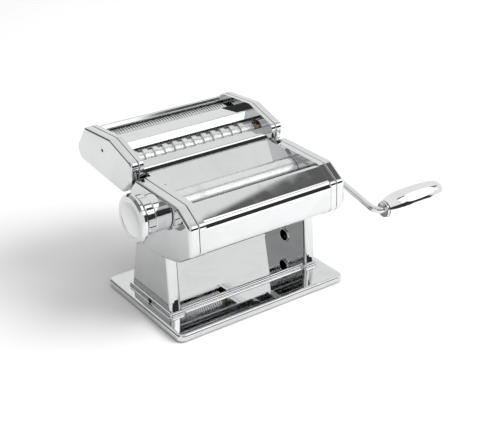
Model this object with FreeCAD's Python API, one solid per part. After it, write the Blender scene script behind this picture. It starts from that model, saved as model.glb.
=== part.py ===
"""Manual pasta roller machine: a chromed sheet-steel body on a stamped base, a pair of smooth
dough rollers with a thickness knob, a pull-off crank, and a lift-off attachment with two pairs
of cutting rollers. Millimetres, +Z up, -Y is the front, the crank is on +X.
Heights and places are drawn from one datum near the middle of the base; the finished part is moved
so that its origin is the centre of the whole machine's footprint, on the table under the feet."""
import FreeCAD, Part
import math
import os

V = FreeCAD.Vector

# ---------------------------------------------------------------- driving dimensions
BASE_X, BASE_Y = 201.0, 138.5        # footprint of the stamped base
BASE_MID = (-10.6, -16.8)            # x, y of its centre
TABLE_Z = 13.2                       # drawing heights: table top, underside of the base pan,
PAN_BOTTOM = 15.0                    # top of its flat flange, and top of the shallow deck
FLANGE_TOP = 21.6                    # that carries the legs
DECK_TOP = 26.0
SHEET = 1.2                          # chromed sheet steel
MID_X = -10.0                        # the body's middle plane

COVER_OUT = 90.5                     # half widths, measured from the middle plane
SEAM = 80.0                          # joint between side frame and side cover
WEB_IN = 73.0                        # inner face of the side frames
WEB_T = 2.0                          # thickness of their webs
LEG_OUT, LEG_IN = 89.0, 76.5         # outer and inner faces of the legs
CAP_OUT, CAP_SEAM = 90.5, 81.5       # the same for the cutter attachment
CAP_WEB_IN = 76.5

ROLLER_R = 14.0                      # smooth dough rollers
ROLLER_HALF = 70.4                   # half length of a roller's barrel
END_PLATE = (70.8, 72.98)            # plates that close the rollers' ends, from the middle plane
JOURNAL_R = 5.0
FRONT_AXIS = (-31.0, 127.0)          # y, z of the adjustable roller
REAR_AXIS = (-2.5, 121.0)            # y, z of the driven roller
FREE = 0.3                           # clearance between pieces that move apart
RUN = 0.05                           # radial clearance of a running fit

GEAR_TEETH = 14
PRESSURE_ANGLE = math.radians(25)

CUT_R, CUT_CORE_R = 10.0, 8.2        # cutting rollers over the ribs and in the grooves
CUT_PITCH_D = 19.0                   # distance between the axes of a cutting pair
CUT_TEETH = 12
CUT_HALF = 72.0
CUT_TILT = math.radians(-30)         # the lower roller of a pair lies behind and below the upper
WIDE_AXIS = (40.2, 147.7)            # upper roller of the wide pair
FINE_AXIS = (87.0, 152.5)            # upper roller of the fine pair
WIDE_RIBS, FINE_RIBS = 12, 46

CRANK_PLANE = 108.0                  # x of the crank's arm
CRANK_END = (-109.1, 97.5)           # y, z of the grip's axis
ROD_R = 3.5
GRIP_X0, GRIP_X1 = 119.5, 194.5

KNOB_OUT = 25.5                      # the knob's face stands this far from the side cover
KNOB_R = 24.0
SHAFT_R = 5.0

# side outline of the body, (y, z, corner radius), from the rear top and round the front
BODY_OUTLINE = [(2.5, 147.3, 4), (-70.5, 147.3, 6), (-91.8, 133.6, 6), (-93.0, 105.0, 8),
                (-67.0, 88.0, 30), (-38.0, 81.5, 20), (13.0, 80.0, 5), (18.0, 128.5, 6)]
# side outline of the cutter attachment, from the rear top and round the front
CAP_OUTLINE = [(102.0, 168.6, 6), (49.0, 172.8, 6), (7.0, 160.2, 7), (12.0, 139.0, 14),
               (28.0, 123.6, 10), (112.5, 130.0, 8), (121.5, 141.0, 10)]

parts = {}


# ---------------------------------------------------------------- drawing helpers
def corner_points(points, closed):
    """Each corner as (start, middle, end) of its arc; a sharp corner has three equal points."""
    out = []
    count = len(points)
    for i, (y, z, radius) in enumerate(points):
        here = V(0, y, z)
        if radius <= 0 or (not closed and i in (0, count - 1)):
            out.append((here, here, here))
            continue
        before = (V(0, *points[i - 1][:2]) - here).normalize()
        after = (V(0, *points[(i + 1) % count][:2]) - here).normalize()
        half = before.getAngle(after) / 2
        reach = radius / math.tan(half)
        bisector = (before + after).normalize()
        centre = here + bisector * (radius / math.sin(half))
        out.append((here + before * reach, centre - bisector * radius, here + after * reach))
    return out


def path_edges(corners, closed):
    edges = []
    for i, (start, middle, end) in enumerate(corners):
        if (start - end).Length > 1e-6:
            edges.append(Part.Arc(start, middle, end).toShape())
        if i + 1 < len(corners) or closed:
            following = corners[(i + 1) % len(corners)][0]
            if (following - end).Length > 1e-6:
                edges.append(Part.LineSegment(end, following).toShape())
    return edges


def offset_points(points, distance, closed):
    """Mitred offset to the left of travel; corner radii grow or shrink with it."""
    out = []
    count = len(points)
    for i, (y, z, radius) in enumerate(points):
        here = V(0, y, z)
        into = here - V(0, *points[i - 1][:2]) if closed or i > 0 else None
        away = V(0, *points[(i + 1) % count][:2]) - here if closed or i + 1 < count else None
        into = (into or away).normalize()
        away = (away or into).normalize()
        normal = (V(0, -into.z, into.y) + V(0, -away.z, away.y)).normalize()
        stretch = 1 / max(0.2, normal.dot(V(0, -into.z, into.y)))
        turn = into.y * away.z - into.z * away.y
        moved = here + normal * (distance * stretch)
        new_radius = max(0.0, radius - math.copysign(distance, turn)) if radius > 0 else 0
        out.append((moved.y, moved.z, new_radius))
    return out


def span(side, near, far):
    """x range between two distances from the middle plane, on side -1 or +1."""
    return tuple(sorted((MID_X + side * near, MID_X + side * far)))


def extrude_x(wire, x0, x1):
    face = Part.Face(wire)
    face.translate(V(x0, 0, 0))
    return face.extrude(V(x1 - x0, 0, 0))


def prism(points, x0, x1):
    return extrude_x(Part.Wire(path_edges(corner_points(points, True), True)), x0, x1)


def bent_sheet(points, thickness, x0, x1):
    """A sheet that follows an open line of (y, z, radius), with its thickness to the left."""
    near = path_edges(corner_points(points, False), False)
    other = list(reversed(offset_points(points, thickness, False)))
    far = path_edges(corner_points(other, False), False)
    ends = [Part.LineSegment(V(0, *points[-1][:2]), V(0, *other[0][:2])).toShape(),
            Part.LineSegment(V(0, *other[-1][:2]), V(0, *points[0][:2])).toShape()]
    return extrude_x(Part.Wire(near + [ends[0]] + far + [ends[1]]), x0, x1)


def rod(axis, radius, x0, x1):
    return Part.makeCylinder(radius, x1 - x0, V(x0, *axis), V(1, 0, 0))


def tube(axis, outer, inner, x0, x1):
    return rod(axis, outer, x0, x1).cut(rod(axis, inner, x0 - 1, x1 + 1))


def block(x0, x1, y0, y1, z0, z1):
    return Part.makeBox(x1 - x0, y1 - y0, z1 - z0, V(x0, y0, z0))


def hexagon(axis, across_flats, x0, x1):
    radius = across_flats / math.sqrt(3)
    corners = [V(0, axis[0] + radius * math.cos(math.radians(60 * i)),
                 axis[1] + radius * math.sin(math.radians(60 * i))) for i in range(7)]
    return extrude_x(Part.makePolygon(corners), x0, x1)


def rounded_box(x0, x1, y0, y1, z0, z1, corner_r, top_r):
    solid = block(x0, x1, y0, y1, z0, z1)
    upright = [e for e in solid.Edges if abs(e.Vertexes[0].Z - e.Vertexes[1].Z) > 1]
    solid = solid.makeFillet(corner_r, upright)
    if top_r > 0:
        rim = [e for e in solid.Edges if e.BoundBox.ZMin > z1 - 1e-3]
        solid = solid.makeFillet(top_r, rim)
    return solid


def round_edges_at_x(solid, x, radius):
    """Fillet the outline that lies in the plane at x."""
    outline = [e for e in solid.Edges
               if abs(e.BoundBox.XMin - x) < 1e-3 and abs(e.BoundBox.XMax - x) < 1e-3]
    return solid.makeFillet(radius, outline)


def joined(shapes):
    result = shapes[0]
    for shape in shapes[1:]:
        result = result.fuse(shape)
    return result.removeSplitter()


def cut_all(shape, tools):
    for tool in tools:
        shape = shape.cut(tool)
    return shape


def group(solids):
    return Part.makeCompound(solids)


def shifted(axis, dy, dz):
    return (axis[0] + dy, axis[1] + dz)


def involute_gear(axis, pitch_r, teeth, addendum, dedendum, x0, x1, phase):
    """Spur gear about X. Phase turns it; at zero a tooth points along +Y."""
    base_r = pitch_r * math.cos(PRESSURE_ANGLE)
    tip_r, root_r = pitch_r + addendum, pitch_r - dedendum
    backlash = 0.25 / pitch_r

    def half_angle(r):
        """Half the tooth's angle at radius r."""
        roll = math.acos(min(1.0, base_r / r))
        at_pitch = math.tan(PRESSURE_ANGLE) - PRESSURE_ANGLE
        return math.pi / (2 * teeth) - backlash + at_pitch - (math.tan(roll) - roll)

    start_r = max(base_r, root_r)
    radii = [start_r + (tip_r - start_r) * k / 4 for k in range(5)]
    corners = []
    for tooth in range(teeth):
        middle = phase + 2 * math.pi * tooth / teeth
        flank = [(root_r, half_angle(start_r))] + [(r, half_angle(r)) for r in radii]
        corners += [(r, middle - a) for r, a in flank]
        corners += [(r, middle + a) for r, a in reversed(flank)]
    points = [V(0, axis[0] + r * math.cos(a), axis[1] + r * math.sin(a)) for r, a in corners]
    kept = [p for i, p in enumerate(points) if (p - points[i - 1]).Length > 1e-4]
    return extrude_x(Part.makePolygon(kept + [kept[0]]), x0, x1)


def mesh_phase(driver_axis, follower_axis, teeth):
    """Phase of the follower so that its gap faces the driver's tooth on the line of centres."""
    return line_angle(follower_axis, driver_axis) + math.pi / teeth


def line_angle(start, end):
    return math.atan2(end[1] - start[1], end[0] - start[0])


# ---------------------------------------------------------------- base and legs
FLANGE_CORNER_R, FLANGE_EDGE_R = 7.5, 3.0
DECK_Y = (-49.6, 22.4)               # the deck between the legs
DECK_CORNER_R, DECK_EDGE_R = 3.0, 2.0
DECK_FOOT_R = 1.2                    # rounding where the deck rises from the flange
PAD_REACH = 2.2                      # the deck widens this far around each leg
PAD_IN = 3.0
LEG_Y = (-52.0, 23.0)                # the legs' feet
LEG_FOOT_T = 1.6
LEG_TOP = 94.0
LEG_TOP_Y = (-47.2, 8.0)
LEG_EDGE_R = 4.2
LEG_SCREW_Y = (-34.0, -2.0)
LEG_SCREW_Z = 89.0
LEG_SCREW_R = 2.0
SCREW_ROOM = 0.2                     # radial clearance of a screw hole
BASE_SCREW_Y = (-38.0, 8.0)
BASE_SCREW_INSET = 4.0
SCREW_HEAD_R, SCREW_HEAD_H = 3.6, 2.2
LEG_OUTLINE = [(LEG_Y[0], DECK_TOP, 0), (LEG_TOP_Y[0], LEG_TOP, 0), (LEG_TOP_Y[1], LEG_TOP, 0),
               (LEG_Y[1], DECK_TOP, 0)]
LEG_HOLE = (-15.0, 44.5)             # pressed hole with a rolled lip in each leg's inner wall
LEG_HOLE_R = 6.2
LIP_WIDTH, LIP_HEIGHT = 1.5, 1.1
CLAMP_AXIS = (-16.0, 23.2)           # y, z of the socket for the table clamp's pin
CLAMP_R = 1.5
CLAMP_MOUTH = 7.0                    # the oblong hole in the deck's wall is this long
CLAMP_BLOCK_Y = 6.0
CLAMP_BLOCK_Z = (19.6, DECK_TOP - SHEET - 0.01)
CLAMP_LENGTH = 26.0
FOOT_INSET = 15.0
FOOT_R, FOOT_RECESS_R, FOOT_RECESS = 4.6, 2.4, 1.0
FOOT_EDGE_R = 0.6


def deck_box(x0, x1, y0, y1, inset):
    return rounded_box(x0 + inset, x1 - inset, y0 + inset, y1 - inset, PAN_BOTTOM - inset,
                       DECK_TOP - inset, DECK_CORNER_R - inset, DECK_EDGE_R - inset)


def deck_side_x():
    """x of the deck's left and right walls."""
    return MID_X - LEG_OUT - PAD_REACH, MID_X + LEG_OUT + PAD_REACH


def pan_form(inset):
    """Flange and raised deck as one solid, shrunk by the inset."""
    half_x, half_y = BASE_X / 2 - inset, BASE_Y / 2 - inset
    form = rounded_box(BASE_MID[0] - half_x, BASE_MID[0] + half_x, BASE_MID[1] - half_y, BASE_MID[1] + half_y,
                       PAN_BOTTOM - inset, FLANGE_TOP - inset, FLANGE_CORNER_R - inset, FLANGE_EDGE_R - inset)
    left, right = deck_side_x()
    form = form.fuse(deck_box(left, right, *DECK_Y, inset))
    pad_y = (LEG_Y[0] - PAD_REACH, LEG_Y[1] + PAD_REACH)
    for side in (-1, 1):
        form = form.fuse(deck_box(*span(side, LEG_IN - PAD_IN, LEG_OUT + PAD_REACH), *pad_y, inset))
    return form.removeSplitter()


def round_deck_foot(form):
    """Fillet the line where the deck rises from the flange."""
    left, right = deck_side_x()
    foot = []
    for edge in form.Edges:
        box = edge.BoundBox
        in_level = abs(box.ZMin - FLANGE_TOP) < 1e-3 and abs(box.ZMax - FLANGE_TOP) < 1e-3
        if in_level and box.XMin > left - 1 and box.XMax < right + 1 and box.YLength < BASE_Y / 2 + 20:
            foot.append(edge)
    return form.makeFillet(DECK_FOOT_R, foot)


def base_screw_centres(side):
    x = MID_X + side * (LEG_IN + BASE_SCREW_INSET)
    return [(x, y) for y in BASE_SCREW_Y]


def clamp_mouth(x0, x1):
    """Oblong hole through the deck's left wall."""
    y, z = CLAMP_AXIS
    reach = CLAMP_MOUTH / 2 - CLAMP_R
    ends = [rod((y - reach, z), CLAMP_R, x0, x1), rod((y + reach, z), CLAMP_R, x0, x1)]
    return joined(ends + [block(x0, x1, y - reach, y + reach, z - CLAMP_R, z + CLAMP_R)])


def make_base():
    pan = round_deck_foot(pan_form(0)).cut(pan_form(SHEET))
    wall_x = deck_side_x()[0]
    holes = [Part.makeCylinder(LEG_SCREW_R + SCREW_ROOM, 10, V(x, y, DECK_TOP - 5))
             for side in (-1, 1) for x, y in base_screw_centres(side)]
    holes.append(clamp_mouth(wall_x - 1, wall_x + 3))
    parts["base_pan"] = cut_all(pan, holes).removeSplitter()
    socket_x = (wall_x + SHEET + DECK_EDGE_R - 1, wall_x + SHEET + DECK_EDGE_R - 1 + CLAMP_LENGTH)
    y = CLAMP_AXIS[0]
    socket = block(*socket_x, y - CLAMP_BLOCK_Y, y + CLAMP_BLOCK_Y, *CLAMP_BLOCK_Z)
    parts["clamp_socket"] = socket.cut(rod(CLAMP_AXIS, CLAMP_R, socket_x[0] - 1, socket_x[1] + 1))
    feet = []
    for x in (BASE_MID[0] - BASE_X / 2 + FOOT_INSET, BASE_MID[0] + BASE_X / 2 - FOOT_INSET):
        for y in (BASE_MID[1] - BASE_Y / 2 + FOOT_INSET, BASE_MID[1] + BASE_Y / 2 - FOOT_INSET):
            foot = Part.makeCylinder(FOOT_R, FLANGE_TOP - SHEET - 0.01 - TABLE_Z, V(x, y, TABLE_Z))
            foot = foot.makeFillet(FOOT_EDGE_R, [e for e in foot.Edges if e.BoundBox.ZMax < TABLE_Z + 0.01])
            feet.append(foot.cut(Part.makeCylinder(FOOT_RECESS_R, FOOT_RECESS, V(x, y, TABLE_Z))))
    parts["rubber_feet"] = group(feet)
    screws = []
    under_deck = DECK_TOP - SHEET
    for side in (-1, 1):
        for x, y in base_screw_centres(side):
            head = Part.makeCylinder(SCREW_HEAD_R, SCREW_HEAD_H, V(x, y, under_deck - SCREW_HEAD_H))
            shank = Part.makeCylinder(LEG_SCREW_R, SHEET + LEG_FOOT_T + 2, V(x, y, under_deck))
            screws.append(head.fuse(shank).removeSplitter())
    parts["base_screws"] = group(screws)


def make_leg(side):
    x0, x1 = span(side, LEG_IN, LEG_OUT)
    shell = prism(LEG_OUTLINE, x0, x1)
    upright = [e for e in shell.Edges if e.BoundBox.ZLength > 20]
    shell = shell.makeFillet(LEG_EDGE_R, upright)
    floor_z = DECK_TOP + LEG_FOOT_T
    inner = [(LEG_Y[0] + SHEET, floor_z, 0), (LEG_TOP_Y[0] + SHEET, LEG_TOP + 1, 0),
             (LEG_TOP_Y[1] - SHEET, LEG_TOP + 1, 0), (LEG_Y[1] - SHEET - 0.4, floor_z, 0)]
    cavity = prism(inner, x0 + SHEET, x1 - SHEET)
    cavity = cavity.makeFillet(LEG_EDGE_R - SHEET, [e for e in cavity.Edges if e.BoundBox.ZLength > 20])
    inner_x = MID_X + side * LEG_IN
    wall = (inner_x - 3, inner_x + 3)
    tools = [cavity, rod(LEG_HOLE, LEG_HOLE_R, *wall)]
    tools += [rod((y, LEG_SCREW_Z), LEG_SCREW_R + SCREW_ROOM, *wall) for y in LEG_SCREW_Y]
    tools += [Part.makeCylinder(LEG_SCREW_R, 8, V(x, y, DECK_TOP - 3)) for x, y in base_screw_centres(side)]
    leg = cut_all(shell, tools)
    lip_x = inner_x - side * LIP_HEIGHT
    lip = tube(LEG_HOLE, LEG_HOLE_R + LIP_WIDTH, LEG_HOLE_R, *sorted((inner_x, lip_x)))
    lip_edge = [e for e in lip.Edges if abs(e.BoundBox.XMin - lip_x) < 1e-3
                and e.BoundBox.YLength > 2 * LEG_HOLE_R + 2]
    return leg.fuse(lip.makeFillet(LIP_WIDTH / 2, lip_edge)).removeSplitter()


# ---------------------------------------------------------------- side frames and side covers
GEAR_X = (80.8, 86.8)                # roller gears, as distances from the middle plane
BUSH_R = 8.0
TIE_RODS = [(-80.0, 112.5), (-64.5, 127.0), (9.7, 100.5)]
TIE_R = 3.5
TIE_END_R = 2.5
BOSS_R = 5.0
BLOCK_HALF = (9.0, 12.0)             # half sizes of the sliding bearing blocks
BLOCK_IN = WEB_IN + WEB_T + FREE
CAM_R = 8.5                          # radius of the knob's cam at rest
CAM_RISE = 0.566                     # millimetres of travel per radian of the knob
FOLLOWER_R = 1.8
FOLLOWER_REACH = CAM_R + FREE + FOLLOWER_R
LEG_NOTCH = [(-55.5, 70.0, 0), (-50.5, 100.0, 0), (11.5, 100.0, 0), (18.6, 70.0, 0)]
TRAVEL_CLOSE, TRAVEL_OPEN = 0.72, 2.5   # of the adjustable roller, from its rest place
JOURNAL_ROOM = 0.6                   # around a journal where it only passes through
COVER_EDGE_R = 3.4                   # rounding of the side covers' outer edge
SEAM_GAP, SEAM_EDGE_R = 0.5, 0.9     # groove between a frame and its cover
KNOB_HOLE_R = 7.4
CRANK_HOLE_R = 10.0


def open_direction():
    length = math.hypot(FRONT_AXIS[0] - REAR_AXIS[0], FRONT_AXIS[1] - REAR_AXIS[1])
    return ((FRONT_AXIS[0] - REAR_AXIS[0]) / length, (FRONT_AXIS[1] - REAR_AXIS[1]) / length)


def travel_slot(radius, x0, x1):
    """Clearance hole swept along the adjustable roller's travel."""
    dy, dz = open_direction()
    near = shifted(FRONT_AXIS, -dy * (TRAVEL_CLOSE + FREE), -dz * (TRAVEL_CLOSE + FREE))
    far = shifted(FRONT_AXIS, dy * (TRAVEL_OPEN + FREE), dz * (TRAVEL_OPEN + FREE))
    side = V(0, -dz * radius, dy * radius)
    a, b = V(0, *near), V(0, *far)
    band = Part.makePolygon([a - side, b - side, b + side, a + side, a - side])
    return joined([extrude_x(band, x0, x1), rod(near, radius, x0, x1), rod(far, radius, x0, x1)])


def scraper_window(x0, x1):
    """Room for the front scraper's ends, which move with the adjustable roller."""
    y, z = FRONT_AXIS
    return block(x0, x1, y - 17.0, y - 5.0, z - 24.5, z - 9.0)


def make_side_frame(side):
    x0, x1 = span(side, WEB_IN, SEAM)
    body = round_edges_at_x(prism(BODY_OUTLINE, x0, x1), MID_X + side * SEAM, SEAM_EDGE_R)
    cavity = span(side, WEB_IN + WEB_T, SEAM + 1)
    frame = body.cut(prism(offset_points(BODY_OUTLINE, SHEET, True), *cavity))
    boss_x = span(side, WEB_IN + WEB_T - 0.5, LEG_IN - 0.02)
    frame = joined([frame] + [rod((y, LEG_SCREW_Z), BOSS_R, *boss_x) for y in LEG_SCREW_Y])
    web = span(side, WEB_IN - 1, WEB_IN + WEB_T + 1)
    tools = [prism(LEG_NOTCH, *span(side, LEG_IN - FREE, SEAM + 1))]
    tools += [travel_slot(JOURNAL_R + JOURNAL_ROOM, *web), rod(REAR_AXIS, BUSH_R, *web), scraper_window(*web)]
    tools += [rod(axis, TIE_END_R, *web) for axis in TIE_RODS]
    tools += [rod((y, LEG_SCREW_Z), LEG_SCREW_R, *span(side, WEB_IN - 1, LEG_IN + 1)) for y in LEG_SCREW_Y]
    return cut_all(frame, tools).removeSplitter()


def make_side_cover(side):
    x0, x1 = span(side, SEAM + SEAM_GAP, COVER_OUT)
    shell = round_edges_at_x(prism(BODY_OUTLINE, x0, x1), MID_X + side * COVER_OUT, COVER_EDGE_R)
    inner = prism(offset_points(BODY_OUTLINE, SHEET, True), *span(side, SEAM - 1, COVER_OUT - SHEET))
    inner = round_edges_at_x(inner, MID_X + side * (COVER_OUT - SHEET), COVER_EDGE_R - SHEET)
    shell = round_edges_at_x(shell, MID_X + side * (SEAM + SEAM_GAP), SEAM_EDGE_R)
    tools = [inner, prism(LEG_NOTCH, *span(side, SEAM - 1, COVER_OUT - SHEET - 0.05))]
    wall = span(side, COVER_OUT - 4, COVER_OUT + 1)
    tools.append(rod(FRONT_AXIS, KNOB_HOLE_R, *wall) if side < 0 else rod(REAR_AXIS, CRANK_HOLE_R, *wall))
    return cut_all(shell, tools).removeSplitter()


def make_frame_fasteners():
    rods, nuts, screws = [], [], []
    web_out = WEB_IN + WEB_T
    nut_flats, nut_t, thread_end = 7.0, 3.2, 3.6
    head_r, head_t, shank_end = 3.8, 1.8, 6.0
    for axis in TIE_RODS:
        body = rod(axis, TIE_R, MID_X - WEB_IN, MID_X + WEB_IN)
        ends = rod(axis, TIE_END_R, MID_X - web_out - thread_end, MID_X + web_out + thread_end)
        rods.append(body.fuse(ends).removeSplitter())
        for side in (-1, 1):
            x0, x1 = span(side, web_out, web_out + nut_t)
            nuts.append(hexagon(axis, nut_flats, x0, x1).cut(rod(axis, TIE_END_R, x0 - 1, x1 + 1)))
    for side in (-1, 1):
        for y in LEG_SCREW_Y:
            axis = (y, LEG_SCREW_Z)
            head = rod(axis, head_r, *span(side, WEB_IN - head_t, WEB_IN))
            shank = rod(axis, LEG_SCREW_R, *span(side, WEB_IN - 0.5, LEG_IN + shank_end))
            screws.append(head.fuse(shank).removeSplitter())
    parts["tie_rods"] = group(rods)
    parts["tie_rod_nuts"] = group(nuts)
    parts["leg_screws"] = group(screws)


# ---------------------------------------------------------------- sheet panels between the frames
PANEL_X = (MID_X - WEB_IN + 0.02, MID_X + WEB_IN - 0.02)
INNER_X = (MID_X - END_PLATE[0], MID_X + END_PLATE[0])
THIN = 1.0                           # thinner sheet of the inner plates and scrapers
END_PLATE_OUTLINE = [(-57.0, 141.5, 1), (-27.0, 141.5, 3), (-19.5, 147.0, 3), (8.8, 147.0, 1),
                     (8.8, 143.6, 1), (12.7, 136.0, 3), (12.7, 110.0, 0), (0.0, 101.5, 3),
                     (-44.0, 101.5, 3), (-57.0, 112.0, 3)]


def make_panels():
    front = [(-67.5, 141.5, 0), (-67.5, 145.8, 1.6), (-72.0, 145.8, 2.0), (-91.4, 133.3, 12.0),
             (-92.6, 105.3, 7.5), (-72.0, 91.2, 0)]
    parts["front_cover"] = bent_sheet(front, SHEET, *PANEL_X)
    hopper = [(11.2, 144.6, 0), (10.9, 147.6, 1.4), (-14.5, 132.2, 0)]
    parts["hopper_plate"] = bent_sheet(hopper, THIN, *INNER_X)
    rear = [(14.4, 84.0, 0), (14.4, 136.0, 5.0), (10.0, 144.2, 0)]
    parts["rear_cover"] = bent_sheet(rear, THIN, *PANEL_X)
    for name, side in (("left_end_plate", -1), ("right_end_plate", 1)):
        x0, x1 = span(side, *END_PLATE)
        through = (x0 - 1, x1 + 1)
        tools = [travel_slot(JOURNAL_R + JOURNAL_ROOM, *through),
                 rod(REAR_AXIS, JOURNAL_R + JOURNAL_ROOM, *through), scraper_window(*through)]
        parts[name] = cut_all(prism(END_PLATE_OUTLINE, x0, x1), tools)


# ---------------------------------------------------------------- smooth rollers and their gears
def make_rollers():
    d = MID_X
    pitch_r = ROLLER_R + 0.2                     # the gears mesh fully with the rollers almost touching
    addendum, dedendum = 2.2, 2.9
    axis_angle = line_angle(REAR_AXIS, FRONT_AXIS)
    gear_x = span(1, *GEAR_X)

    rear = joined([rod(REAR_AXIS, ROLLER_R, d - ROLLER_HALF, d + ROLLER_HALF),
                   rod(REAR_AXIS, JOURNAL_R, d - 79.0, d + 87.5)])
    parts["rear_roller"] = rear.cut(hexagon(REAR_AXIS, 6.1, d + 74.0, d + 100.0))
    front = joined([rod(FRONT_AXIS, ROLLER_R, d - ROLLER_HALF, d + ROLLER_HALF),
                    rod(FRONT_AXIS, JOURNAL_R, d - 78.0, d + 87.5)])
    parts["front_roller"] = front
    for name, axis, phase in (("rear_roller_gear", REAR_AXIS, axis_angle),
                              ("front_roller_gear", FRONT_AXIS,
                               mesh_phase(REAR_AXIS, FRONT_AXIS, GEAR_TEETH))):
        gear = involute_gear(axis, pitch_r, GEAR_TEETH, addendum, dedendum, *gear_x, phase)
        parts[name] = gear.cut(rod(axis, JOURNAL_R, gear_x[0] - 1, gear_x[1] + 1))
    sleeve = tube(REAR_AXIS, 8.6, 3.8, d + 87.5, d + 93.0)
    sleeve = sleeve.makeFillet(0.8, [e for e in sleeve.Edges if e.BoundBox.XMin > d + 92.9])
    parts["crank_socket"] = sleeve


def make_roller_bearings():
    bushes = []
    for side in (-1, 1):
        x0, x1 = span(side, WEB_IN, 78.6)
        flange = span(side, WEB_IN + WEB_T, WEB_IN + WEB_T + 1.4)
        solid = joined([rod(REAR_AXIS, BUSH_R, x0, x1), rod(REAR_AXIS, BUSH_R + 2.0, *flange)])
        bushes.append(solid.cut(rod(REAR_AXIS, JOURNAL_R + RUN, x0 - 1, x1 + 1)))
    parts["rear_roller_bushes"] = group(bushes)

    ring_bore_r, flange_r, flange_t = 9.0, 12.0, 1.2
    ring = tube(REAR_AXIS, CRANK_HOLE_R, ring_bore_r, *span(1, COVER_OUT - SHEET - 1.4, COVER_OUT + flange_t))
    flange = tube(REAR_AXIS, flange_r, ring_bore_r, *span(1, COVER_OUT, COVER_OUT + flange_t))
    outer_edge = [e for e in flange.Edges if e.BoundBox.XMin > MID_X + COVER_OUT + flange_t - 0.1
                  and e.BoundBox.YLength > 2 * flange_r - 1]
    flange = flange.makeFillet(0.6, outer_edge)
    parts["crank_hole_ring"] = ring.fuse(flange).removeSplitter()

    blocks = []
    half_y, half_z = BLOCK_HALF
    y, z = FRONT_AXIS
    for side in (-1, 1):
        x0, x1 = span(side, BLOCK_IN, 80.0)
        solid = block(x0, x1, y - half_y, y + half_y, z - half_z, z + half_z)
        ear = block(x0, x1, y - half_y - 6.0, y - half_y + 1.0, z - 25.0, z - 7.0)
        solid = solid.fuse(ear).removeSplitter()
        if side < 0:
            follower = shifted(FRONT_AXIS, *[axis * FOLLOWER_REACH for axis in open_direction()])
            solid = solid.fuse(rod(follower, FOLLOWER_R, x0 - 4.0, x0 + 1.0)).removeSplitter()
        blocks.append(solid.cut(rod(FRONT_AXIS, JOURNAL_R + RUN, x0 - 1, x1 + 1)))
    parts["bearing_blocks"] = group(blocks)
    guides = []
    for side in (-1, 1):
        x0, x1 = span(side, WEB_IN + WEB_T, 79.5)
        above, below = z + half_z + FREE + 0.7, z - half_z - FREE - 2.8
        guides.append(block(x0, x1, y - half_y - 3, y + half_y, above, above + 2.5))
        guides.append(block(x0, x1, y - half_y + 5, y + half_y, below, below + 2.5))
    parts["block_guides"] = group(guides)


def make_scrapers():
    """Thin folded blades that wipe the rollers from below."""
    gap = ROLLER_R + 0.3
    angle = math.radians(232)
    y, z = shifted(FRONT_AXIS, gap * math.cos(angle), gap * math.sin(angle))
    front = [(y, z, 0), (y - 3.4, z - 9.0, 2.0), (y + 1.6, z - 12.0, 0)]
    parts["front_scraper"] = bent_sheet(front, THIN, MID_X - BLOCK_IN, MID_X + BLOCK_IN)
    angle = math.radians(305)
    y, z = shifted(REAR_AXIS, (gap + 0.8) * math.cos(angle), (gap + 0.8) * math.sin(angle))
    rear = [(y - 4.5, z - 10.8, 0), (y - 1.3, z - 9.5, 1.5), (y, z, 0)]
    parts["rear_scraper"] = bent_sheet(rear, THIN, *INNER_X)


# ---------------------------------------------------------------- thickness knob
def revolved(axis, points):
    """Solid of revolution about the X line through axis, from a closed polygon."""
    wire = Part.makePolygon(points + [points[0]])
    return Part.Face(wire).revolve(V(0, *axis), V(1, 0, 0), 360)


def spiral_cam(x0, x1):
    """Cam whose radius grows evenly with angle, facing the follower at rest."""
    toward_follower = math.atan2(open_direction()[1], open_direction()[0])
    turn_back, turn_on = math.radians(-270), math.radians(90)
    steps = 60
    points = []
    for i in range(steps + 1):
        knob_turn = turn_back + (turn_on - turn_back) * i / steps
        radius = CAM_R - CAM_RISE * knob_turn
        angle = toward_follower + knob_turn
        points.append(V(0, *shifted(FRONT_AXIS, radius * math.cos(angle), radius * math.sin(angle))))
    return extrude_x(Part.makePolygon(points + [points[0]]), x0, x1)


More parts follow.
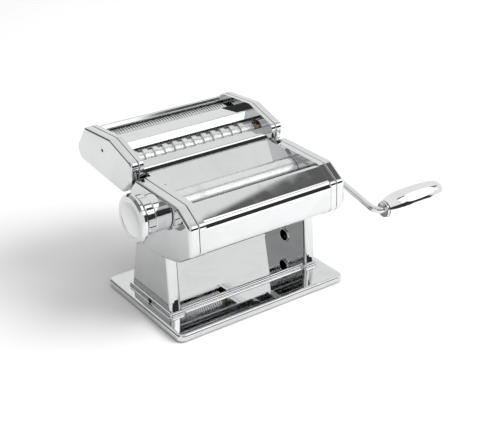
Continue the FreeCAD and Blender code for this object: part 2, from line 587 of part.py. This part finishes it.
def make_knob():
    face = MID_X - COVER_OUT
    y, z = FRONT_AXIS
    collar = tube(FRONT_AXIS, 18.4, 14.0, face - 8.4, face - 0.02)
    collar = collar.makeFillet(0.8, [e for e in collar.Edges
                                     if e.BoundBox.XMax < face - 8.3 and e.BoundBox.YLength > 30])
    floor = tube(FRONT_AXIS, 14.0, 5.2, face - 2.0, face - 0.02)
    parts["index_collar"] = joined([collar, floor])
    shaft = rod(FRONT_AXIS, SHAFT_R, face - 20.2, face + 9.5)
    shoulder = rod(FRONT_AXIS, 7.0, face + 2.8, face + 4.5)
    parts["knob_shaft"] = joined([shaft, shoulder, spiral_cam(face + 6.5, face + 9.5)])
    bush = [tube(FRONT_AXIS, KNOB_HOLE_R - 0.02, SHAFT_R + RUN, face, face + SHEET),
            tube(FRONT_AXIS, 9.5, SHAFT_R + RUN, face + SHEET, face + 2.4)]
    parts["knob_bush"] = joined(bush)

    out = face - KNOB_OUT
    dish_r, dish_depth = 17.4, 2.8
    bore_r = SHAFT_R + RUN
    # depth behind the face and radius, from the dished face over the rim and skirt to the bore
    profile = [(dish_depth, 0.0), (dish_depth, dish_r), (0.0, dish_r), (0.0, 21.8), (2.2, KNOB_R),
               (4.4, KNOB_R), (6.2, 21.2), (6.6, 19.0), (7.4, 19.0), (8.0, 20.6),
               (15.2, 20.6), (16.6, 19.0), (16.6, 15.0), (9.0, 15.0), (9.0, 8.0),
               (15.6, 8.0), (15.6, bore_r), (5.0, bore_r), (5.0, 0.0)]
    solid = revolved(FRONT_AXIS, [V(out + depth, y, z + r) for depth, r in profile])
    hollow_r, hollow_depth = 16.4, 1.7
    sphere_r = (hollow_r ** 2 + hollow_depth ** 2) / (2 * hollow_depth)
    hollow = Part.makeSphere(sphere_r, V(out + 0.2 + hollow_depth - sphere_r, y, z))
    parts["knob_face_plate"] = rod(FRONT_AXIS, dish_r, out + 0.2, out + dish_depth).cut(hollow)
    scallops = []
    scallop_count, scallop_circle_r, scallop_r = 10, 29.4, 9.6
    for i in range(scallop_count):
        angle = 2 * math.pi * i / scallop_count
        centre = shifted(FRONT_AXIS, scallop_circle_r * math.cos(angle), scallop_circle_r * math.sin(angle))
        scallops.append(rod(centre, scallop_r, out + 8.4, out + 17.0))
    parts["knob_dial"] = cut_all(solid, scallops).removeSplitter()
    spring_r, wire_r, turn_pitch, turn_count = 12.6, 0.9, 2.3, 6
    parts["knob_spring"] = group([Part.makeTorus(spring_r, wire_r, V(face - 3.2 - turn_pitch * i, y, z),
                                                 V(1, 0, 0)) for i in range(turn_count)])


# ---------------------------------------------------------------- crank
def make_crank():
    d = MID_X
    start = V(d + 78.0, *REAR_AXIS)
    corner_a = V(CRANK_PLANE, *REAR_AXIS)
    corner_b = V(CRANK_PLANE, *CRANK_END)
    finish = V(GRIP_X1 - 5.0, *CRANK_END)
    bend = 9.5

    def toward(a, b, distance):
        return a + (b - a).normalize() * distance

    def arc_middle(a, corner, b):
        inward = ((a - corner).normalize() + (b - corner).normalize()).normalize()
        return corner + inward * (bend * (math.sqrt(2) - 1))

    hex_end = d + 92.0
    p1 = V(hex_end - 4.5, *REAR_AXIS)
    a0, a1 = toward(corner_a, start, bend), toward(corner_a, corner_b, bend)
    b0, b1 = toward(corner_b, corner_a, bend), toward(corner_b, finish, bend)
    runs = [Part.LineSegment(p1, a0), Part.Arc(a0, arc_middle(a0, corner_a, a1), a1),
            Part.LineSegment(a1, b0), Part.Arc(b0, arc_middle(b0, corner_b, b1), b1),
            Part.LineSegment(b1, finish)]
    spine = Part.Wire([run.toShape() for run in runs])
    section = Part.Wire([Part.makeCircle(ROD_R, p1, V(1, 0, 0))])
    bar = spine.makePipeShell([section], True, False)
    tip = hexagon(REAR_AXIS, 6.0, start.x, p1.x + 0.5)
    head = rod(CRANK_END, 5.2, GRIP_X1 - 5.5, GRIP_X1 - 4.0)
    parts["crank_arm"] = joined([bar, tip, head])
    washer = tube(CRANK_END, 8.4, ROD_R, GRIP_X0 - 2.6, GRIP_X0 - 0.4)
    parts["crank_washer"] = washer.makeFillet(0.6, [e for e in washer.Edges if e.BoundBox.YLength > 12])

    y, z = CRANK_END
    rail = [(GRIP_X0, 8.8), (GRIP_X0 + 9.5, 12.2), (GRIP_X0 + 34.0, 14.0), (GRIP_X1 - 12.0, 13.0),
            (GRIP_X1 - 3.0, 10.6), (GRIP_X1, 7.6)]
    curve = Part.BSplineCurve()
    curve.interpolate([V(px, y, z + r) for px, r in rail])
    bore = ROD_R + 0.1
    head_room = 5.6
    inner = [(GRIP_X1, head_room), (GRIP_X1 - 6.0, head_room), (GRIP_X1 - 6.0, bore), (GRIP_X0, bore)]
    path = [V(GRIP_X1, y, z + 7.6)] + [V(px, y, z + r) for px, r in inner] + [V(GRIP_X0, y, z + 8.8)]
    edges = [Part.LineSegment(path[i], path[i + 1]).toShape() for i in range(len(path) - 1)]
    grip = Part.Face(Part.Wire([curve.toShape()] + edges)).revolve(V(GRIP_X0, y, z), V(1, 0, 0), 360)
    flats = []
    flat_count, flat_r = 8, 13.35
    for i in range(flat_count):
        flat = block(GRIP_X0 + 10.0, GRIP_X1 - 4.0, -8.0, 8.0, flat_r, 20.0)
        flat.rotate(V(0, 0, 0), V(1, 0, 0), 360 * i / flat_count)
        flat.translate(V(0, y, z))
        flats.append(flat)
    parts["crank_grip"] = cut_all(grip, flats)
    cap = rod(CRANK_END, 5.6, GRIP_X1 - 3.6, GRIP_X1 + 0.5)
    parts["grip_end_cap"] = cap.makeFillet(0.9, [e for e in cap.Edges if e.BoundBox.XMin > GRIP_X1 + 0.4])


# ---------------------------------------------------------------- cutter attachment
def lower_axis(upper):
    return shifted(upper, CUT_PITCH_D * math.cos(CUT_TILT), CUT_PITCH_D * math.sin(CUT_TILT))


CUTTER_AXES = {"wide": (WIDE_AXIS, lower_axis(WIDE_AXIS)), "fine": (FINE_AXIS, lower_axis(FINE_AXIS))}
CUT_JOURNAL_R = 3.4
CUT_GEAR_X = (83.0, 87.5)
CUT_HEX = 5.1                        # socket for the crank's end, across flats
RIB_GAP = 0.15                       # each rib clears the groove's walls by this on either side
CUT_BUSH_R = 5.5
CUT_TIE_R, CUT_TIE_END_R = 2.8, 2.0
CAP_EDGE_R = 2.8
COVER_X = (MID_X - CAP_WEB_IN + 0.02, MID_X + CAP_WEB_IN - 0.02)
CUTTER_TIES = [(22.0, 137.0), (76.0, 134.0), (101.8, 157.0)]


def rib_pitch(ribs):
    return 2 * CUT_HALF / (ribs + 0.5)


def make_cutting_roller(axis, ribs, is_upper, phase):
    """Ribbed roller with its gear; ribs of one roller stand in the grooves of the other."""
    d = MID_X
    core = joined([rod(axis, CUT_CORE_R, d - CUT_HALF, d + CUT_HALF),
                   rod(axis, CUT_JOURNAL_R, d - 80.5, d + 88.0)])
    pitch = rib_pitch(ribs)
    width = pitch / 2 - 2 * RIB_GAP
    start = d - CUT_HALF + RIB_GAP + (0 if is_upper else pitch / 2)
    places = [start + i * pitch for i in range(ribs)]
    rings = [tube(axis, CUT_R, CUT_CORE_R - 0.4, x, x + width) for x in places]
    addendum, dedendum = 1.5, 2.1
    gear = involute_gear(axis, CUT_PITCH_D / 2, CUT_TEETH, addendum, dedendum, *span(1, *CUT_GEAR_X), phase)
    solid = core.multiFuse(rings + [gear]).removeSplitter()
    if is_upper:
        solid = solid.cut(hexagon(axis, CUT_HEX, d + 72.0, d + 100.0))
    return solid


def make_cutter_rollers():
    for name, ribs in (("wide", WIDE_RIBS), ("fine", FINE_RIBS)):
        upper, lower = CUTTER_AXES[name]
        phase = line_angle(upper, lower)
        follow = mesh_phase(upper, lower, CUT_TEETH)
        parts[name + "_cutter_upper_roller"] = make_cutting_roller(upper, ribs, True, phase)
        parts[name + "_cutter_lower_roller"] = make_cutting_roller(lower, ribs, False, follow)


def make_cutter_housing():
    for name, side in (("cutter_left_frame", -1), ("cutter_right_frame", 1)):
        x0, x1 = span(side, CAP_WEB_IN, CAP_SEAM)
        body = round_edges_at_x(prism(CAP_OUTLINE, x0, x1), MID_X + side * CAP_SEAM, SEAM_EDGE_R)
        hollow = span(side, CAP_WEB_IN + 1.5, CAP_SEAM + 1)
        frame = body.cut(prism(offset_points(CAP_OUTLINE, SHEET, True), *hollow))
        through = span(side, CAP_WEB_IN - 1, CAP_WEB_IN + 3)
        holes = [rod(axis, CUT_BUSH_R, *through) for pair in CUTTER_AXES.values() for axis in pair]
        holes += [rod(axis, CUT_TIE_END_R, *through) for axis in CUTTER_TIES]
        parts[name] = cut_all(frame, holes).removeSplitter()
    for name, side in (("cutter_left_cap", -1), ("cutter_right_cap", 1)):
        x0, x1 = span(side, CAP_SEAM + SEAM_GAP, CAP_OUT)
        shell = round_edges_at_x(prism(CAP_OUTLINE, x0, x1), MID_X + side * CAP_OUT, CAP_EDGE_R)
        shell = round_edges_at_x(shell, MID_X + side * (CAP_SEAM + SEAM_GAP), SEAM_EDGE_R)
        inner = prism(offset_points(CAP_OUTLINE, SHEET, True), *span(side, CAP_SEAM - 1, CAP_OUT - SHEET))
        inner = round_edges_at_x(inner, MID_X + side * (CAP_OUT - SHEET), CAP_EDGE_R - SHEET)
        tools = [inner]
        wall = span(side, CAP_OUT - 4, CAP_OUT + 1)
        if side > 0:
            tools += [rod(pair[0], 4.6, *wall) for pair in CUTTER_AXES.values()]
        else:
            tools.append(hexagon((65.0, 156.0), 3.4, *wall))
        parts[name] = cut_all(shell, tools).removeSplitter()



def make_cutter_covers():
    """Folded sheets between the attachment's frames, and the rods that hold the frames apart."""
    front = [(30.0, 151.0, 0), (26.0, 153.6, 2.5), (14.8, 151.6, 4.0), (11.8, 145.5, 5.0), (16.0, 131.0, 6.0),
             (26.0, 124.6, 0)]
    parts["cutter_front_cover"] = bent_sheet(front, SHEET, *COVER_X)
    centre = [(79.0, 161.0, 0), (76.5, 162.8, 1.5), (48.5, 166.0, 2.0), (44.4, 158.9, 0)]
    parts["cutter_centre_cover"] = bent_sheet(centre, SHEET, *COVER_X)
    rear = [(108.0, 131.0, 0), (112.3, 131.4, 3.0), (119.6, 141.3, 8.0), (101.0, 167.6, 2.0),
            (97.0, 162.6, 1.5), (97.6, 159.6, 0)]
    parts["cutter_rear_cover"] = bent_sheet(rear, SHEET, *COVER_X)
    tie_reach = CAP_WEB_IN + 3.2
    ties, bushes = [], []
    for axis in CUTTER_TIES:
        end = rod(axis, CUT_TIE_END_R, MID_X - tie_reach, MID_X + tie_reach)
        ties.append(joined([rod(axis, CUT_TIE_R, *COVER_X), end]))
    parts["cutter_tie_rods"] = group(ties)
    for side in (-1, 1):
        bush_x = span(side, CAP_WEB_IN - 1.5, CAP_WEB_IN + 3.5)
        for pair in CUTTER_AXES.values():
            bushes += [tube(axis, CUT_BUSH_R, CUT_JOURNAL_R + RUN, *bush_x) for axis in pair]
    parts["cutter_bushes"] = group(bushes)


def make_strippers():
    """Combs under each cutting pair; their teeth reach into the grooves of the upper roller."""
    tooth_gap, roller_gap = 0.2, 0.4
    for name, ribs in (("wide", WIDE_RIBS), ("fine", FINE_RIBS)):
        upper, lower = CUTTER_AXES[name]
        pitch = rib_pitch(ribs)
        y, z = upper
        front, back = y - 9.0, y - 5.0
        bar = block(*COVER_X, front, back, z - 14.0, z - 12.4)
        teeth = []
        for i in range(ribs):
            groove = MID_X - CUT_HALF + (i + 0.5) * pitch
            teeth.append(block(groove + tooth_gap, groove + pitch / 2 - tooth_gap, front + 1.0, back - 0.5,
                               z - 13.0, z - CUT_CORE_R + 1.6))
        room = [rod(upper, CUT_CORE_R + roller_gap, *COVER_X), rod(lower, CUT_R + roller_gap, *COVER_X)]
        parts[name + "_stripper_comb"] = cut_all(bar.multiFuse(teeth), room).removeSplitter()


def make_cutter_mounting():
    """T-section rails behind the side frames, and the channels that drop over them."""
    rails, hooks = [], []
    front_y, back_y = 20.0, 24.0
    low, high = 95.0, 121.0
    hook_low, hook_high = low + 6.0, 140.0
    head_x, web_x, hook_x = (74.6, 79.4), (76.0, 78.0), (73.1, 80.9)
    hook_y = (18.6, back_y + 1.5)
    for side in (-1, 1):
        head = block(*span(side, *head_x), front_y, back_y, low, high)
        web = block(*span(side, *web_x), 14.0, front_y + 1, low, high)
        body = prism(BODY_OUTLINE, *span(side, WEB_IN - 1, SEAM + 1))
        rails.append(head.fuse(web).cut(body).removeSplitter())
        channel = block(*span(side, *hook_x), *hook_y, hook_low, hook_high)
        slot = block(*span(side, head_x[0] - FREE, head_x[1] + FREE), front_y - FREE, back_y + FREE,
                     low, high + 0.4)
        mouth = block(*span(side, web_x[0] - FREE, web_x[1] + FREE), 10.0, front_y, low, high + 0.4)
        outline = prism(CAP_OUTLINE, *span(side, 70.0, 84.0))
        hooks.append(cut_all(channel, [slot, mouth, outline]).removeSplitter())
        notch = block(*span(side, hook_x[0] - FREE, hook_x[1] + FREE), hook_y[0] - FREE, hook_y[1] + FREE,
                      low, hook_high)
        parts["cutter_front_cover"] = parts["cutter_front_cover"].cut(notch)
    parts["cutter_rails"] = group(rails)
    parts["cutter_hooks"] = group(hooks)


def build_all():
    make_base()
    for name, side in (("left", -1), ("right", 1)):
        parts[name + "_leg"] = make_leg(side)
        parts[name + "_side_frame"] = make_side_frame(side)
        parts[name + "_side_cover"] = make_side_cover(side)
    make_frame_fasteners()
    make_panels()
    make_rollers()
    make_roller_bearings()
    make_scrapers()
    make_knob()
    make_crank()
    make_cutter_rollers()
    make_cutter_housing()
    make_cutter_covers()
    make_strippers()
    make_cutter_mounting()


build_all()
whole = Part.makeCompound(list(parts.values())).optimalBoundingBox(False, False)
footprint_centre = V(whole.Center.x, whole.Center.y, TABLE_Z)
print("footprint centre", footprint_centre)
os.makedirs("parts", exist_ok=True)
for node, shape in parts.items():
    placed = shape.copy()
    placed.translate(-footprint_centre)
    placed.exportStep("parts/" + node + ".step")
print(len(parts), "nodes;", sum(len(s.Solids) for s in parts.values()), "solids;",
      "all valid" if all(s.isValid() for s in parts.values()) else "INVALID")
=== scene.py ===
import math

import bpy
from mathutils import Euler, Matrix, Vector

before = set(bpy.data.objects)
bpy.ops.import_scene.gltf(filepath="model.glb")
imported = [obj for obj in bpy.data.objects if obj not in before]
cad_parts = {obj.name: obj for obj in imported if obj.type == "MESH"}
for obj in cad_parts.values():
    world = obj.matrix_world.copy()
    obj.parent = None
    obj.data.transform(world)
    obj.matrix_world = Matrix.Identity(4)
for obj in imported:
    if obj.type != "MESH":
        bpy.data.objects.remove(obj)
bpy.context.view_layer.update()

# Lengths are in metres. Azimuth is measured from +Y towards +X, elevation from the horizon up.

# ---------------------------------------------------------------- camera numbers
# the photograph's viewpoint, solved from the base's straight edges and the upright legs
LOOK_AZIMUTH = math.radians(36.024)
LOOK_DOWN = math.radians(26.673)
CAMERA_AT = Vector((-0.58016, -0.79297, 0.55579))
LENS_MM = 76.07
SENSOR_MM = 36.0
CLIP_START = 0.01

# ---------------------------------------------------------------- studio numbers
FLOOR_SIZE = 6.0
FLOOR_COLOUR = (0.86, 0.86, 0.86, 1)
FLOOR_ROUGHNESS = 0.9
KEY_AT = Vector((1.3, -1.2, 1.6))
KEY_AIM = Vector((0, 0, 0.05))
KEY_SIZE = 1.7
KEY_WATTS = 60

WALL_LEVEL = 0.96
BACKDROP_LEVEL = 1.0                 # what the camera itself sees behind the floor
# What the metal mirrors: middle and half width in azimuth, the same in elevation, soft edge (all
# in degrees), and brightness. Later ones cover earlier ones.
SURROUNDINGS = {
    "low_softbox": (136, 21, 34, 8, 2.0, 1.9),
    "high_softbox": (134, 16, 53, 8, 2.0, 1.6),
    "softbox_joint": (136, 26, 43.5, 1.3, 1.0, 0.10),
    "upper_left_card": (-58, 48, 28, 10, 4.0, 0.45),
    "left_card": (-58, 48, 8, 11, 3.0, 0.05),
    "left_wall": (-78, 24, 38, 16, 5.0, 0.22),
    "dark_room": (174, 40, 10, 17, 3.0, 0.04),
    "tripod": (-153.5, 5, 10, 31, 2.0, 0.04),
    "left_screen": (-125, 26, 52, 9, 4.0, 0.30),
}
# A dark flag overhead on the right is a band of directions. One of its long sides lies in the
# plane with this normal, and the band reaches to the other side of it. The reach, the soft edge
# and the ends, where the flag fades in, are measured on a unit vector.
FLAG_NORMAL = Vector((-0.139, 0.9705, 0.1969)).normalized()
FLAG_REACH = 0.16
FLAG_EDGE = 0.006
FLAG_LEFT_END = (0.2, 0.3)
FLAG_LOWER_END = (0.55, 0.6)
FLAG_LEVEL = 0.14

# ---------------------------------------------------------------- material numbers
# noise scales are in cycles per metre; a range is what the noise is stretched from
HAZE_SCALE = 34.0
HAZE_RANGE = (0.42, 0.72)
WIPE_SCALE = 260.0
WIPE_STRETCH = (1.0, 0.16, 0.4)
WIPE_RANGE = (0.5, 0.8)
WIPE_SHARE = 0.35
WAVE_SCALE = 9.0
GRAIN_SCALE = 900.0
GRAIN_SHARE = 0.02
METAL_RELIEF = 0.0004
TURNED_GRAIN = (1.0, 0.02, 0.02)     # rings round X
DRAWN_GRAIN = (0.3, 0.3, 1.0)
CLOUD_SCALE = 60.0
CLOUD_RANGE = (0.3, 0.7)
TEXTURE_SCALE = 1400.0
TEXTURE_STRENGTH = 0.4


# ---------------------------------------------------------------- nodes
def math_node(tree, operation, *values, clamp=False):
    """One arithmetic step on sockets or plain numbers."""
    made = tree.nodes.new("ShaderNodeMath")
    made.operation = operation
    made.use_clamp = clamp
    for slot, value in enumerate(values):
        if isinstance(value, (int, float)):
            made.inputs[slot].default_value = value
        else:
            tree.links.new(value, made.inputs[slot])
    return made.outputs[0]


def map_range(tree, value, source, target, smooth=False):
    """The value carried over from the source's span to the target's."""
    made = tree.nodes.new("ShaderNodeMapRange")
    made.interpolation_type = "SMOOTHSTEP" if smooth else "LINEAR"
    tree.links.new(value, made.inputs["Value"])
    for socket, number in zip(("From Min", "From Max", "To Min", "To Max"), (*source, *target)):
        made.inputs[socket].default_value = number
    return made.outputs["Result"]


def mix_colour(tree, factor, first, second):
    made = tree.nodes.new("ShaderNodeMix")
    made.data_type = "RGBA"
    tree.links.new(factor, made.inputs[0])
    sockets = [socket for socket in made.inputs if socket.type == "RGBA"]
    for socket, colour in zip(sockets, (first, second)):
        socket.default_value = colour
    return next(socket for socket in made.outputs if socket.type == "RGBA")


def noise(tree, coordinates, scale, detail=3.0, roughness=0.5, distortion=0.0, stretch=None):
    """Noise on object coordinates, each axis optionally scaled by its own factor."""
    if stretch:
        mapping = tree.nodes.new("ShaderNodeMapping")
        mapping.inputs["Scale"].default_value = stretch
        tree.links.new(coordinates, mapping.inputs["Vector"])
        coordinates = mapping.outputs["Vector"]
    made = tree.nodes.new("ShaderNodeTexNoise")
    made.inputs["Scale"].default_value = scale
    made.inputs["Detail"].default_value = detail
    made.inputs["Roughness"].default_value = roughness
    made.inputs["Distortion"].default_value = distortion
    tree.links.new(coordinates, made.inputs["Vector"])
    return made.outputs["Fac"]


def bump(tree, shader, height, strength, distance):
    made = tree.nodes.new("ShaderNodeBump")
    made.inputs["Strength"].default_value = strength
    made.inputs["Distance"].default_value = distance
    tree.links.new(height, made.inputs["Height"])
    tree.links.new(made.outputs["Normal"], shader.inputs["Normal"])


# ---------------------------------------------------------------- materials
def new_material(name):
    material = bpy.data.materials.new(name)
    material.use_nodes = True
    tree = material.node_tree
    tree.nodes.clear()
    output = tree.nodes.new("ShaderNodeOutputMaterial")
    shader = tree.nodes.new("ShaderNodeBsdfPrincipled")
    tree.links.new(shader.outputs["BSDF"], output.inputs["Surface"])
    return material, tree, shader


def object_coordinates(tree):
    return tree.nodes.new("ShaderNodeTexCoord").outputs["Object"]


def mirror_metal(name, clean, dull, polish, wave, grain=None):
    """Plated or polished metal: faint haze and wipe marks in its colour and gloss, and a slight
    unevenness in its reflections. Polish is its least and most roughness, wave is how uneven it
    is, and grain is how its fine lines are stretched."""
    material, tree, shader = new_material(name)
    place = object_coordinates(tree)
    haze = noise(tree, place, HAZE_SCALE, detail=5.0, roughness=0.62, distortion=0.6)
    wipes = noise(tree, place, WIPE_SCALE, detail=4.0, roughness=0.7, stretch=WIPE_STRETCH)
    soil = map_range(tree, haze, HAZE_RANGE, (0, 1), smooth=True)
    streaks = map_range(tree, wipes, WIPE_RANGE, (0, 1), smooth=True)
    both = math_node(tree, "MULTIPLY_ADD", streaks, WIPE_SHARE, soil, clamp=True)
    tree.links.new(mix_colour(tree, both, clean, dull), shader.inputs["Base Color"])
    tree.links.new(map_range(tree, both, (0, 1), polish), shader.inputs["Roughness"])
    shader.inputs["Metallic"].default_value = 1.0
    swell = noise(tree, place, WAVE_SCALE, detail=1.0, roughness=0.4)
    height = math_node(tree, "MULTIPLY", swell, wave)
    if grain:
        lines = noise(tree, place, GRAIN_SCALE, detail=2.0, stretch=grain)
        height = math_node(tree, "MULTIPLY_ADD", lines, GRAIN_SHARE, height)
    bump(tree, shader, height, 1.0, METAL_RELIEF)
    return material


def moulded_plastic(name, light, dark, gloss, depth=0.00002):
    """Plastic or rubber with a cloudy tone and a fine texture. Gloss is its least and most
    roughness."""
    material, tree, shader = new_material(name)
    place = object_coordinates(tree)
    cloud = noise(tree, place, CLOUD_SCALE, detail=4.0)
    tree.links.new(mix_colour(tree, cloud, light, dark), shader.inputs["Base Color"])
    tree.links.new(map_range(tree, cloud, CLOUD_RANGE, gloss), shader.inputs["Roughness"])
    bump(tree, shader, noise(tree, place, TEXTURE_SCALE, detail=2.0), TEXTURE_STRENGTH, depth)
    return material


def cool_grey(level, tint=0.005):
    return (level, level + tint, level + 2 * tint, 1)


METALS = {
    "chrome_sheet": dict(clean=cool_grey(0.70), dull=cool_grey(0.66), polish=(0.02, 0.07), wave=0.12),
    "roller_metal": dict(clean=cool_grey(0.76), dull=cool_grey(0.68), polish=(0.26, 0.34), wave=0.02,
                         grain=TURNED_GRAIN),
    "chrome_bar": dict(clean=cool_grey(0.71), dull=cool_grey(0.64), polish=(0.04, 0.10), wave=0.02),
    "knob_chrome": dict(clean=cool_grey(0.74), dull=cool_grey(0.68), polish=(0.05, 0.11), wave=0.02),
    "grip_plating": dict(clean=cool_grey(0.80, 0), dull=cool_grey(0.74, 0), polish=(0.05, 0.12),
                         wave=0.05),
    "zinc_steel": dict(clean=cool_grey(0.58, 0.01), dull=cool_grey(0.44, 0.01), polish=(0.22, 0.38),
                       wave=0.05, grain=DRAWN_GRAIN),
    "bush_bronze": dict(clean=(0.66, 0.50, 0.28, 1), dull=(0.44, 0.33, 0.19, 1), polish=(0.3, 0.45),
                        wave=0.05),
}
PLASTICS = {
    "cap_plastic": dict(light=(0.15, 0.15, 0.155, 1), dark=(0.11, 0.11, 0.115, 1), gloss=(0.16, 0.3)),
    "grey_nylon": dict(light=cool_grey(0.42, 0.01), dark=cool_grey(0.36, 0.01), gloss=(0.4, 0.55)),
    "foot_rubber": dict(light=(0.035, 0.035, 0.036, 1), dark=(0.02, 0.02, 0.021, 1), gloss=(0.6, 0.8),
                        depth=0.00006),
}


def paint_cad_pieces():
    """Give every CAD piece the finished material that its packed one is named after."""
    finished = {name: mirror_metal(name, **look) for name, look in METALS.items()}
    finished.update({name: moulded_plastic(name, **look) for name, look in PLASTICS.items()})
    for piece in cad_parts.values():
        for slot in piece.material_slots:
            slot.material = finished[slot.material.name.split(".")[0]]


# ---------------------------------------------------------------- studio
def add_floor():
    material, _, shader = new_material("studio_floor")
    shader.inputs["Base Color"].default_value = FLOOR_COLOUR
    shader.inputs["Roughness"].default_value = FLOOR_ROUGHNESS
    shader.inputs["Specular IOR Level"].default_value = 0.0
    mesh = bpy.data.meshes.new("studio_floor")
    half = FLOOR_SIZE / 2
    corners = [(-half, -half, 0), (half, -half, 0), (half, half, 0), (-half, half, 0)]
    mesh.from_pydata(corners, [], [(0, 1, 2, 3)])
    mesh.materials.append(material)
    floor = bpy.data.objects.new("studio_floor", mesh)
    bpy.context.scene.collection.objects.link(floor)


def window(tree, value, middle, half, soft, around=False):
    """1 where the value is within half of the middle, falling to 0 over the soft edge. Around
    makes it wrap at 180 degrees."""
    offset = math_node(tree, "SUBTRACT", value, middle)
    if around:
        offset = math_node(tree, "WRAP", offset, 180.0, -180.0)
    distance = math_node(tree, "ABSOLUTE", offset)
    return map_range(tree, distance, (half - soft / 2, half + soft / 2), (1, 0), smooth=True)


def blend_level(tree, level, target, mask):
    """Level where the mask is 0, target where it is 1."""
    change = math_node(tree, "SUBTRACT", target, level)
    return math_node(tree, "MULTIPLY_ADD", change, mask, level)


def flag_mask(tree, direction, x, z):
    """1 inside the overhead flag, 0 outside it."""
    beyond = tree.nodes.new("ShaderNodeVectorMath")
    beyond.operation = "DOT_PRODUCT"
    tree.links.new(direction, beyond.inputs[0])
    beyond.inputs[1].default_value = FLAG_NORMAL
    mask = window(tree, beyond.outputs["Value"], -FLAG_REACH / 2, FLAG_REACH / 2, FLAG_EDGE)
    for value, end in ((x, FLAG_LEFT_END), (z, FLAG_LOWER_END)):
        mask = math_node(tree, "MULTIPLY", mask, map_range(tree, value, end, (0, 1), smooth=True))
    return mask


def add_world():
    """The white studio, its softboxes, the dark room behind the camera and the dark flag."""
    world = bpy.data.worlds.new("studio")
    bpy.context.scene.world = world
    world.use_nodes = True
    tree = world.node_tree
    tree.nodes.clear()
    output = tree.nodes.new("ShaderNodeOutputWorld")
    background = tree.nodes.new("ShaderNodeBackground")
    background.inputs["Color"].default_value = (1, 1, 1, 1)
    tree.links.new(background.outputs["Background"], output.inputs["Surface"])
    direction = tree.nodes.new("ShaderNodeTexCoord").outputs["Generated"]
    split = tree.nodes.new("ShaderNodeSeparateXYZ")
    tree.links.new(direction, split.inputs[0])
    x, y, z = split.outputs
    azimuth = math_node(tree, "DEGREES", math_node(tree, "ARCTAN2", x, y))
    elevation = math_node(tree, "DEGREES", math_node(tree, "ARCSINE", z))
    level = blend_level(tree, WALL_LEVEL, FLAG_LEVEL, flag_mask(tree, direction, x, z))
    for middle, half, height, half_height, soft, brightness in SURROUNDINGS.values():
        mask = math_node(tree, "MULTIPLY", window(tree, azimuth, middle, half, soft, around=True),
                         window(tree, elevation, height, half_height, soft))
        level = blend_level(tree, level, brightness, mask)
    seen_directly = tree.nodes.new("ShaderNodeLightPath").outputs["Is Camera Ray"]
    shown = blend_level(tree, level, BACKDROP_LEVEL, seen_directly)
    tree.links.new(shown, background.inputs["Strength"])


def add_key_softbox():
    """A square area light. The metal doesn't mirror it: the world has the boxes that it mirrors."""
    light = bpy.data.lights.new("key_softbox", "AREA")
    light.shape = "SQUARE"
    light.size = KEY_SIZE
    light.energy = KEY_WATTS
    lamp = bpy.data.objects.new("key_softbox", light)
    lamp.location = KEY_AT
    lamp.rotation_euler = (KEY_AIM - KEY_AT).to_track_quat("-Z", "Y").to_euler()
    lamp.visible_glossy = False
    bpy.context.scene.collection.objects.link(lamp)


def add_camera():
    lens = bpy.data.cameras.new("camera")
    lens.lens = LENS_MM
    lens.sensor_width = SENSOR_MM
    lens.clip_start = CLIP_START
    camera = bpy.data.objects.new("camera", lens)
    camera.location = CAMERA_AT
    camera.rotation_euler = Euler((math.pi / 2 - LOOK_DOWN, 0, -LOOK_AZIMUTH))
    bpy.context.scene.collection.objects.link(camera)
    bpy.context.scene.camera = camera


paint_cad_pieces()
add_floor()
add_world()
add_key_softbox()
add_camera()
bpy.context.scene.view_settings.view_transform = "Standard"
